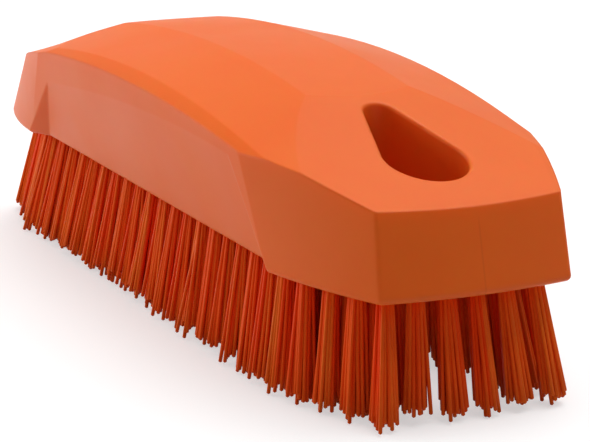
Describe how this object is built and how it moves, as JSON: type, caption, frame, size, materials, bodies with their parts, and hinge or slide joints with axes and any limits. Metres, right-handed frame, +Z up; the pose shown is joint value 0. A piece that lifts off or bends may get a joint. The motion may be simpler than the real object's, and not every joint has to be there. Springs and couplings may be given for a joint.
{
  "type": "nail brush",
  "caption": "Hand-held nail brush: an arched, facetted moulded block with finger recesses, a hanging hole and rows of bristle tufts.",
  "frame": {"origin": "centre of the plane of the bristle tips, under the middle of the block", "axes": "+X along the brush towards the end with the hanging hole, +Y across it, +Z up from the bristle tips to the roof of the block"},
  "size_m": [0.1176, 0.0424, 0.036],
  "materials": {
    "block_plastic": "semi-gloss moulded",
    "bristle_filament": "satin filament",
    "anchor_steel": "cut strip"
  },
  "bodies": {
    "root": {"block": "block_plastic", "tuft_anchors": "anchor_steel", "tuft_column_01": "bristle_filament", "tuft_column_02": "bristle_filament", "tuft_column_03": "bristle_filament", "tuft_column_04": "bristle_filament", "tuft_column_05": "bristle_filament", "tuft_column_06": "bristle_filament", "tuft_column_07": "bristle_filament", "tuft_column_08": "bristle_filament", "tuft_column_09": "bristle_filament", "tuft_column_10": "bristle_filament", "tuft_column_11": "bristle_filament", "tuft_column_12": "bristle_filament", "tuft_column_13": "bristle_filament", "tuft_column_14": "bristle_filament", "tuft_column_15": "bristle_filament", "tuft_column_16": "bristle_filament", "tuft_column_17": "bristle_filament", "tuft_column_18": "bristle_filament", "tuft_column_19": "bristle_filament", "tuft_column_20": "bristle_filament", "tuft_column_21": "bristle_filament", "tuft_column_22": "bristle_filament", "tuft_column_23": "bristle_filament", "tuft_column_24": "bristle_filament", "tuft_column_25": "bristle_filament", "tuft_column_26": "bristle_filament", "tuft_column_27": "bristle_filament"}
  },
  "joints": []
}
